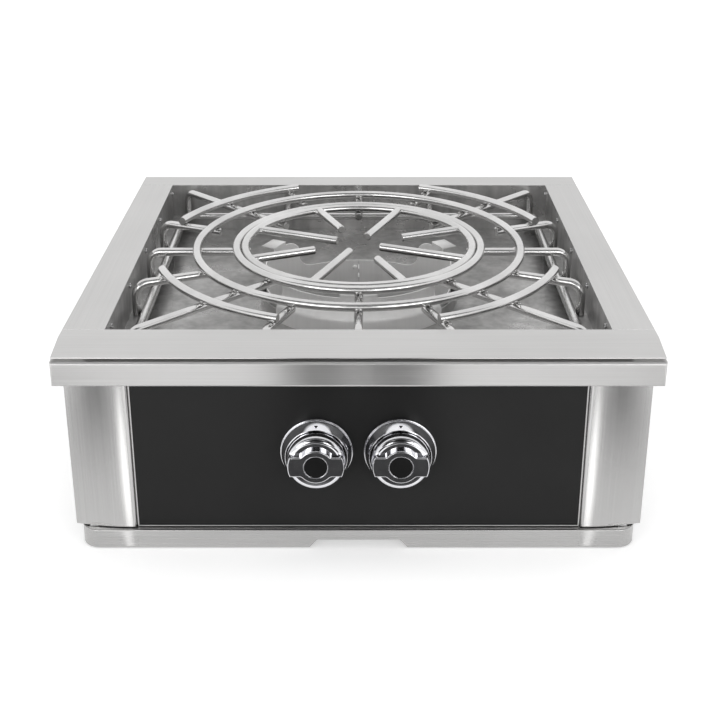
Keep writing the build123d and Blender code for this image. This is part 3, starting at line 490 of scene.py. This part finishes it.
def softCopy(nodeName, pieceName, width):
    piece = mergedCopy(nodeName, pieceName)
    bevelEdges(piece, width * mm, 2, foldAngle)
    smoothBy(piece, foldAngle)
    flatten = piece.modifiers.new("flatFaces", "WEIGHTED_NORMAL")
    flatten.keep_sharp = True
    flatten.weight = 50
    applyModifiers(piece)
    return piece


for nodeName, width in softEdges.items():
    softened = softCopy(nodeName, nodeName + "_finished", width)
    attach(softened, bodyOf[nodeName])
    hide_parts(nodeName)
print("edges softened:", len(softEdges))

# return springs: a merged, smoothed copy takes each spring's place
wireAngle = 50
for side, sign in sides:
    springName = side + "_stem_spring"
    coil = mergedCopy(springName, springName + "_finished")
    smoothBy(coil, wireAngle)
    low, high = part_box(springName)
    middle = (low + high) / 2
    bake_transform(coil)
    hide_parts(springName)
print("springs coiled: 2")


# what repeats is modelled once, then copied, joined and baked
def copyAt(pattern, place, turn=(0, 0, 0), size=(1, 1, 1)):
    copied = pattern.copy()
    copied.data = pattern.data.copy()
    copied.location = place
    copied.rotation_euler = turn
    copied.scale = size
    bpy.context.collection.objects.link(copied)
    return copied


def joinAs(pieceName, copies, pattern):
    clearSelection()
    for copied in copies:
        copied.select_set(True)
    bpy.context.view_layer.objects.active = copies[0]
    bpy.ops.object.join()
    joined = bpy.context.object
    joined.name = pieceName
    joined.data.name = pieceName
    bakePlace(joined)
    bpy.data.objects.remove(pattern)
    return joined


def finishPiece(piece, body, slotName, finish=None):
    dress(piece, finish or finishes[slotName])
    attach(piece, body)


def solidBoxes(nodeName):
    taken = nodes[nodeName].copy()
    taken.data = taken.data.copy()
    taken.parent = None
    bpy.context.collection.objects.link(taken)
    makeActive(taken)
    bpy.ops.object.mode_set(mode="EDIT")
    bpy.ops.mesh.select_all(action="SELECT")
    bpy.ops.mesh.remove_doubles(threshold=mergeReach)
    bpy.ops.mesh.separate(type="LOOSE")
    bpy.ops.object.mode_set(mode="OBJECT")
    found = []
    for part in list(bpy.context.selected_objects):
        corners = [vertex.co for vertex in part.data.vertices]
        low = Vector([min(corner[axis] for corner in corners) for axis in range(3)])
        high = Vector([max(corner[axis] for corner in corners) for axis in range(3)])
        found.append((low, high))
        bpy.data.objects.remove(part)
    return found


# weld beads: a drop on each side of every rod crossing
weldShape = {"along": 3.4, "across": 3.0, "height": 2.2, "off": 3.6, "ripple": 0.10}


def weldDrop():
    clearSelection()
    bpy.ops.mesh.primitive_ico_sphere_add(subdivisions=2, radius=1)
    drop = bpy.context.object
    bpy.ops.object.mode_set(mode="EDIT")
    bpy.ops.mesh.select_all(action="SELECT")
    bpy.ops.transform.vertex_random(offset=weldShape["ripple"], seed=3)
    bpy.ops.mesh.vertices_smooth(factor=0.4)
    sizes = (weldShape["along"] * mm, weldShape["across"] * mm, weldShape["height"] * mm)
    bpy.ops.transform.resize(value=sizes)
    bpy.ops.object.mode_set(mode="OBJECT")
    bpy.ops.object.shade_smooth()
    return drop


def ringRadius(nodeName):
    low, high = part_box(nodeName)
    return (high.x - low.x) / 2 - (high.z - low.z) / 2


grateLayout = {"bars": 16, "arcStart": 20.5}
barCount = grateLayout["bars"]
barStep = 2 * pi / barCount
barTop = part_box("grate_bars")[1].z
rodRadius = (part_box("wok_ring")[1].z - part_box("wok_ring")[0].z) / 2
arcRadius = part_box("grate_outer_arcs")[1].x / cos(radians(grateLayout["arcStart"])) - rodRadius
crossings = []
for index in range(barCount):
    angle = index * barStep
    crossings.append((angle, ringRadius("grate_middle_ring")))
    if index % 2 == 0:
        crossings.append((angle, ringRadius("grate_inner_ring")))
    if index % 4 != 0:
        crossings.append((angle, arcRadius))
drop = weldDrop()
drops = []
for angle, radius in crossings:
    for side in (-1, 1):
        reach = radius + side * weldShape["off"] * mm
        drops.append(copyAt(drop, (reach * cos(angle), reach * sin(angle), barTop), (0, 0, angle)))
grateWelds = joinAs("grate_welds", drops, drop)
finishPiece(grateWelds, "grate_body", "rod_steel")

# prongs are welded to the inside of the wok ring
prongWeld = {"inside": 0.8, "beside": 4.2, "above": 1.5, "swing": 0.7, "size": (0.9, 0.7, 1.1)}
wokRadius = ringRadius("wok_ring")
wokMiddle = (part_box("wok_ring")[0].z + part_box("wok_ring")[1].z) / 2
drop = weldDrop()
drops = []
for index in range(barCount // 2):
    angle = (2 * index + 1) * barStep
    reach = wokRadius - rodRadius - prongWeld["inside"] * mm
    level = wokMiddle + prongWeld["above"] * mm
    for side in (-1, 1):
        sideways = Vector((-sin(angle), cos(angle), 0)) * side * prongWeld["beside"] * mm
        place = Vector((reach * cos(angle), reach * sin(angle), level)) + sideways
        turn = (0, 0, angle + side * prongWeld["swing"])
        drops.append(copyAt(drop, place, turn, prongWeld["size"]))
wokWelds = joinAs("wok_ring_welds", drops, drop)
finishPiece(wokWelds, "wok_ring_body", "rod_steel")
print("welds laid:", len(crossings) * 2 + len(drops))


# pan-head screws with a driver recess, head along +Z
screwShape = {"round": 0.7, "recess": 1.5, "deep": 0.9, "sides": 24}


def roundHead(radius, height, soft, segments):
    clearSelection()
    bpy.ops.mesh.primitive_cylinder_add(vertices=screwShape["sides"], radius=radius, depth=height)
    head = bpy.context.object
    bpy.ops.object.mode_set(mode="EDIT")
    bpy.ops.mesh.select_all(action="DESELECT")
    bpy.ops.object.mode_set(mode="OBJECT")
    for face in head.data.polygons:
        face.select = face.normal.z > 0.9
    bpy.ops.object.mode_set(mode="EDIT")
    bpy.ops.mesh.bevel(offset=soft, segments=segments)
    bpy.ops.object.mode_set(mode="OBJECT")
    smoothBy(head, headAngle)
    return head


def panScrew(radius, height):
    screw = roundHead(radius, height, screwShape["round"] * mm, 3)
    for face in screw.data.polygons:
        face.select = face.normal.z > 0.99
    bpy.ops.object.mode_set(mode="EDIT")
    bpy.ops.mesh.inset(thickness=radius - (screwShape["round"] + screwShape["recess"]) * mm)
    downwards = (0, 0, -screwShape["deep"] * mm)
    bpy.ops.mesh.extrude_region_move(TRANSFORM_OT_translate={"value": downwards})
    bpy.ops.object.mode_set(mode="OBJECT")
    smoothBy(screw, headAngle)
    return screw


screwBoxes = solidBoxes("liner_screws")
headRadius = (screwBoxes[0][1].z - screwBoxes[0][0].z) / 2
headHeight = min(screwBoxes[0][1] - screwBoxes[0][0])
screw = panScrew(headRadius, headHeight)
screws = []
for low, high in screwBoxes:
    middle = (low + high) / 2
    if high.x - low.x < high.z - low.z - mm:
        turn = (0, radians(-90 if middle.x > 0 else 90), 0)
    else:
        turn = (radians(90), 0, 0)
    screws.append(copyAt(screw, middle, turn))
linerScrews = joinAs("liner_screws_finished", screws, screw)
finishPiece(linerScrews, bodyOf["liner_screws"], "fixing_steel")
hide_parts("liner_screws")

# casing screws: rear panel and both sides, over the folded edges
casingScrew = {
    "radius": 3.4, "height": 2.0, "edge": 9.0, "frontEdges": 7, "topEdges": 2, "rearCount": 4, "sideCount": 4,
}
rearLow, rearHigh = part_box("rear_casing_panel")
sideLow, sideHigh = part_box("right_casing_side")
screw = panScrew(casingScrew["radius"] * mm, casingScrew["height"] * mm)
screws = []
edge = casingScrew["edge"] * mm
lift = casingScrew["height"] * mm / 2
rearFirst, rearLast = rearLow.x + edge, rearHigh.x - edge
sideFirst, sideLast = sideLow.y + casingScrew["frontEdges"] * edge, sideHigh.y - edge
for level in (rearLow.z + edge, rearHigh.z - casingScrew["topEdges"] * edge):
    for index in range(casingScrew["rearCount"]):
        across = rearFirst + (rearLast - rearFirst) * index / (casingScrew["rearCount"] - 1)
        screws.append(copyAt(screw, (across, rearHigh.y + lift, level), (radians(-90), 0, 0)))
    for index in range(casingScrew["sideCount"]):
        along = sideFirst + (sideLast - sideFirst) * index / (casingScrew["sideCount"] - 1)
        for side, sign in sides:
            place = (sign * (sideHigh.x + lift), along, level)
            screws.append(copyAt(screw, place, (0, sign * radians(90), 0)))
casingScrews = joinAs("casing_screws", screws, screw)
finishPiece(casingScrews, "casing", "fixing_steel")
print("screws set:", len(screwBoxes) + len(screws))

# lids that close the tops of the two columns, each held by a screw
lid = {"sheet": 1.2, "below": 0.4, "wall": 1.5, "front": 10.0, "soft": 0.3}
columnLow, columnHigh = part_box("right_column")
lidTop = columnHigh.z - lid["below"] * mm
lidLow = Vector((sideHigh.x, columnLow.y + lid["front"] * mm, lidTop - lid["sheet"] * mm))
lidHigh = Vector((columnHigh.x - lid["wall"] * mm, columnHigh.y - lid["wall"] * mm, lidTop))
lidMiddle = (lidLow + lidHigh) / 2
clearSelection()
bpy.ops.mesh.primitive_cube_add(size=1)
plate = bpy.context.object
bpy.ops.object.mode_set(mode="EDIT")
bpy.ops.transform.resize(value=lidHigh - lidLow)
bpy.ops.mesh.bevel(offset=lid["soft"] * mm, segments=2)
bpy.ops.object.mode_set(mode="OBJECT")
smoothBy(plate, headAngle)
screw = panScrew(casingScrew["radius"] * mm, casingScrew["height"] * mm)
lids = []
for side, sign in sides:
    lids.append(copyAt(plate, (sign * lidMiddle.x, lidMiddle.y, lidMiddle.z)))
    lids.append(copyAt(screw, (sign * lidMiddle.x, lidMiddle.y, lidTop + lift)))
bpy.data.objects.remove(screw)
columnLids = joinAs("column_lids", lids, plate)
finishPiece(columnLids, "casing", "satin_steel")
print("column lids set: 2")

# shield rivets: domed heads on the inside of the shield
rivetDome = {"share": 0.95, "steps": 5}
rivetBoxes = solidBoxes("shield_rivets")
rivetRadius = (rivetBoxes[0][1].x - rivetBoxes[0][0].x) / 2
rivetHeight = rivetBoxes[0][1].y - rivetBoxes[0][0].y
rivet = roundHead(rivetRadius, rivetHeight, rivetDome["share"] * rivetHeight, rivetDome["steps"])
rivets = []
for low, high in rivetBoxes:
    middle = (low + high) / 2
    rivets.append(copyAt(rivet, middle, (radians(90 if middle.y > 0 else -90), 0, 0)))
shieldRivets = joinAs("shield_rivets_finished", rivets, rivet)
rivetSlot = slotOf["shield_rivets"]
# the rivets take the shield's pale finish instead of their own slot's: a painted highlight, bright spots
# where bare metal would mirror the dark inside
finishPiece(shieldRivets, bodyOf["shield_rivets"], rivetSlot, finishes["shield_steel"])
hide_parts("shield_rivets")
print("rivets set:", len(rivets))


# pointers: one on the slope of each bezel, tip down, and one on each knob's skirt, tip up
pointer = {
    "size": 2.4, "thick": 0.3, "soft": 0.08, "bezelReach": 33.6, "knobBehind": 15.4, "clear": 20.0,
}
pointerInk = blackFinish("pointerInk", 0.006, 0.012, 0.4, 0.6, 300.0, 0.05)


def pointerMark(pieceName, carrier, start, heading, upright):
    bearer = bpy.data.objects.get(carrier + "_finished", nodes[carrier])
    place, normal = bearer.ray_cast(start, heading)[1:3]
    clearSelection()
    size, thick = pointer["size"] * mm, pointer["thick"] * mm
    bpy.ops.mesh.primitive_cylinder_add(vertices=3, radius=size, depth=thick)
    mark = bpy.context.object
    mark.name = pieceName
    mark.data.name = pieceName
    bpy.ops.object.mode_set(mode="EDIT")
    bpy.ops.mesh.bevel(offset=pointer["soft"] * mm, segments=2)
    bpy.ops.object.mode_set(mode="OBJECT")
    mark.rotation_euler = (0, 0, 0 if upright else pi)
    bakePlace(mark)
    mark.rotation_euler = (atan2(-normal.y, normal.z), 0, 0)
    mark.location = place
    bakePlace(mark)
    return mark


backwards = Vector((0, 1, 0))
down = Vector((0, 0, -1))
for side, sign in sides:
    low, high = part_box(side + "_knob")
    middle = (low + high) / 2
    before = Vector((middle.x, low.y - pointer["clear"] * mm, middle.z + pointer["bezelReach"] * mm))
    bezelMark = pointerMark(side + "_bezel_pointer", side + "_knob_bezel", before, backwards, False)
    finishPiece(bezelMark, "casing", "knob_black", pointerInk)
    above = Vector((middle.x, low.y + pointer["knobBehind"] * mm, high.z + pointer["clear"] * mm))
    knobMark = pointerMark(side + "_knob_pointer", side + "_knob", above, down, True)
    finishPiece(knobMark, side + "_knob_body", "knob_black", pointerInk)
print("pointers marked: 4")

# bright bead round each knob's black centre
bead = {"thick": 0.6, "flat": 0.9, "outside": 0.05}
for side, sign in sides:
    low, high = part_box(side + "_knob_insert")
    middle = (low + high) / 2
    reach = (high.x - low.x) / 2 + bead["outside"] * mm
    clearSelection()
    bpy.ops.mesh.primitive_torus_add(
        major_radius=reach, minor_radius=bead["thick"] * mm, major_segments=72, minor_segments=12,
    )
    ring = bpy.context.object
    ring.name = side + "_knob_bead"
    ring.data.name = ring.name
    bpy.ops.object.mode_set(mode="EDIT")
    bpy.ops.transform.resize(value=(1, 1, bead["flat"]))
    bpy.ops.object.mode_set(mode="OBJECT")
    bpy.ops.object.shade_smooth()
    ring.rotation_euler = (radians(90), 0, 0)
    ring.location = (middle.x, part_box(side + "_knob")[0].y + bead["thick"] * mm, middle.z)
    bakePlace(ring)
    finishPiece(ring, side + "_knob_body", "knob_chrome")
print("knob beads set: 2")


# ground seams where the deck's rails meet
seam = {"width": 0.7, "height": 0.12, "soft": 0.05, "shorter": 2.0}
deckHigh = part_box("top_deck")[1]
clearSelection()
bpy.ops.mesh.primitive_cube_add(size=1)
strip = bpy.context.object
bpy.ops.object.mode_set(mode="EDIT")
railWidth = deckHigh.x + linerLow.x + railEdge["side"]
seamLength = railWidth - seam["shorter"] * mm
bpy.ops.transform.resize(value=(seamLength, seam["width"] * mm, seam["height"] * mm))
bpy.ops.mesh.bevel(offset=seam["soft"] * mm, segments=2)
bpy.ops.object.mode_set(mode="OBJECT")
strips = []
for side, sign in sides:
    for along in (linerLow.y + railEdge["end"], linerHigh.y - railEdge["end"]):
        strips.append(copyAt(strip, (sign * (deckHigh.x - railWidth / 2), along, deckHigh.z)))
deckSeams = joinAs("deck_seams", strips, strip)
finishPiece(deckSeams, "casing", "satin_steel", finishes["fixing_steel"])
print("deck seams ground:", len(strips))


# studio: white paper floor, white room, soft boxes
studio = {
    "floorSide": 14.0, "floorTone": 0.80, "floorGlow": (0.42, 0.95), "fade": (0.6, 2.4), "roomLight": 0.55,
}


def seesBackground(tree):
    rays = tree.nodes.new("ShaderNodeLightPath")
    total = rays.outputs["Is Camera Ray"]
    for other in ("Is Glossy Ray", "Is Transmission Ray"):
        node = tree.nodes.new("ShaderNodeMath")
        node.operation = "MAXIMUM"
        tree.links.new(total, node.inputs[0])
        tree.links.new(rays.outputs[other], node.inputs[1])
        total = node.outputs[0]
    return total


clearSelection()
bpy.ops.mesh.primitive_plane_add(size=studio["floorSide"])
floor = bpy.context.object
floor.name = "paperFloor"
floorPaper = bpy.data.materials.new("whitePaper")
floorPaper.use_nodes = True
floorTree = floorPaper.node_tree
floorShader = floorTree.nodes["Principled BSDF"]
floorShader.inputs["Base Color"].default_value = (*grey(studio["floorTone"]), 1)
floorShader.inputs["Roughness"].default_value = 0.9
floorShader.inputs["Specular IOR Level"].default_value = 0.1
floorShader.inputs["Emission Color"].default_value = (1, 1, 1, 1)
farAway = floorTree.nodes.new("ShaderNodeVectorMath")
farAway.operation = "LENGTH"
floorTree.links.new(floorTree.nodes.new("ShaderNodeTexCoord").outputs["Object"], farAway.inputs[0])
glow = floorTree.nodes.new("ShaderNodeMapRange")
glow.inputs["From Min"].default_value, glow.inputs["From Max"].default_value = studio["fade"]
glow.inputs["To Min"].default_value, glow.inputs["To Max"].default_value = studio["floorGlow"]
floorTree.links.new(farAway.outputs["Value"], glow.inputs["Value"])
seenGlow = floorTree.nodes.new("ShaderNodeMath")
seenGlow.operation = "MULTIPLY"
floorTree.links.new(glow.outputs["Result"], seenGlow.inputs[0])
floorTree.links.new(seesBackground(floorTree), seenGlow.inputs[1])
floorTree.links.new(seenGlow.outputs[0], floorShader.inputs["Emission Strength"])
floor.data.materials.append(floorPaper)

room = bpy.data.worlds.new("whiteRoom")
room.use_nodes = True
bpy.context.scene.world = room
roomTree = room.node_tree
backdrop = roomTree.nodes["Background"]
backdrop.inputs["Color"].default_value = (1, 1, 1, 1)
level = roomTree.nodes.new("ShaderNodeMapRange")
level.inputs["To Min"].default_value = studio["roomLight"]
level.inputs["To Max"].default_value = 1.0
roomTree.links.new(seesBackground(roomTree), level.inputs["Value"])
roomTree.links.new(level.outputs["Result"], backdrop.inputs["Strength"])

softBoxes = {
    "overhead": {"at": (0.0, 0.1, 1.9), "size": (1.8, 1.4), "power": 16.0, "mirrored": False},
    "leftFront": {"at": (-1.2, -2.2, 0.95), "size": (1.5, 0.8), "power": 11.0, "mirrored": True},
    "rightFront": {"at": (1.2, -2.2, 0.95), "size": (1.5, 0.8), "power": 11.0, "mirrored": True},
}
aim = (cadLow + cadHigh) / 2
for boxName, box in softBoxes.items():
    lampData = bpy.data.lights.new(boxName, "AREA")
    lampData.shape = "RECTANGLE"
    lampData.size, lampData.size_y = box["size"]
    lampData.energy = box["power"]
    lamp = bpy.data.objects.new(boxName, lampData)
    lamp.location = box["at"]
    lamp.rotation_euler = (aim - Vector(box["at"])).to_track_quat("-Z", "Y").to_euler()
    lamp.visible_glossy = box["mirrored"]
    bpy.context.collection.objects.link(lamp)

# dark cloths and glowing cards, soft-edged, hidden from the camera, from diffuse light and from shadows, so
# that only reflections show them; the ceiling and far cloths are studio flags that darken the room the metal
# mirrors, while the cards and cloths set close to the knobs, bezels and columns are painted reflections
# turn is tilt and swing in degrees; soft is the share of the cloth over which its edge fades
cloths = {
    # a glowing strip just under the front bar that only reflections show: a painted highlight on the bezels'
    # slopes
    "bezelCard": {
        "at": (0, -0.3015, 0.1912), "half": (0.15, 0.0075), "turn": (0, 0), "glow": 0.8, "soft": 0.4,
    },
    "ceilingCloth": {
        "at": (0, -0.95, 2.2), "half": (4.0, 0.65), "turn": (0, 0), "tone": 0.08, "soft": 0.45,
    },
    "farCloth": {
        "at": (0, -2.8, 2.4), "half": (4.0, 0.9), "turn": (90, 0), "tone": 0.05, "soft": 0.45,
    },
}
pairStep = 0.002  # the two cloths of a pair overlap, so they hang this far before and behind
for side, sign in sides:
    # three dark cards hang a few centimetres before each knob, hidden from the camera: painted dark
    # reflections on the knob's face and the bezel
    cloths[side + "KnobCard"] = {
        "at": (sign * 0.0445, -0.40 + sign * pairStep, 0.076), "half": (0.065, 0.04),
        "turn": (-59.5, 0), "tone": 0.11, "soft": 0.45,
    }
    cloths[side + "KnobShade"] = {
        "at": (sign * 0.0427, -0.412 + sign * pairStep, 0.14), "half": (0.05, 0.032),
        "turn": (90, 0), "tone": 0.12, "soft": 0.45,
    }
    cloths[side + "KnobHood"] = {
        "at": (sign * 0.0427, -0.39 + sign * pairStep, 0.195), "half": (0.06, 0.055),
        "turn": (57, 0), "tone": 0.05, "soft": 0.45,
    }
    # a dark cloth on the floor before each column, seen only in reflections: painted shade on the column's
    # face, darker towards the top
    cloths[side + "ColumnCloth"] = {
        "at": (sign * 0.444, -0.64, 0.002), "half": (0.19, 0.40),
        "turn": (0, sign * 27.5), "tone": 0.34, "soft": 0.9,
    }
    # a glowing strip on the floor before each column that only reflections show: a painted highlight along
    # the column's inner edge
    cloths[side + "EdgeCard"] = {
        "at": (sign * 0.301, -0.504, 0.003), "half": (0.009, 0.26),
        "turn": (0, sign * 16.6), "glow": 2.0, "soft": 0.6,
    }


def clothFinish(name, cloth):
    finish = bpy.data.materials.new(name)
    finish.use_nodes = True
    tree = finish.node_tree
    shader = tree.nodes["Principled BSDF"]
    shader.inputs["Base Color"].default_value = (*grey(cloth.get("tone", 0.9)), 1)
    shader.inputs["Roughness"].default_value = 1.0
    shader.inputs["Specular IOR Level"].default_value = 0.0
    shader.inputs["Emission Color"].default_value = (1, 1, 1, 1)
    # a card's glow shows only in reflections and lights nothing: painted light
    shader.inputs["Emission Strength"].default_value = cloth.get("glow", 0.0)
    fade = tree.nodes.new("ShaderNodeTexGradient")
    fade.gradient_type = "SPHERICAL"
    tree.links.new(tree.nodes.new("ShaderNodeTexCoord").outputs["Object"], fade.inputs["Vector"])
    cover = tree.nodes.new("ShaderNodeMapRange")
    cover.inputs["From Max"].default_value = cloth["soft"]
    tree.links.new(fade.outputs["Fac"], cover.inputs["Value"])
    tree.links.new(cover.outputs["Result"], shader.inputs["Alpha"])
    return finish


for clothName, cloth in cloths.items():
    clearSelection()
    tilt, swing = cloth["turn"]
    turn = (radians(tilt), 0, radians(swing))
    bpy.ops.mesh.primitive_plane_add(size=2, location=cloth["at"], rotation=turn)
    hung = bpy.context.object
    hung.name = clothName
    hung.scale = (*cloth["half"], 1)
    hung.visible_camera = False
    hung.visible_diffuse = False
    hung.visible_shadow = False
    hung.data.materials.append(clothFinish(clothName, cloth))
print("studio lit:", len(softBoxes), "soft boxes,", len(cloths), "cloths and cards")
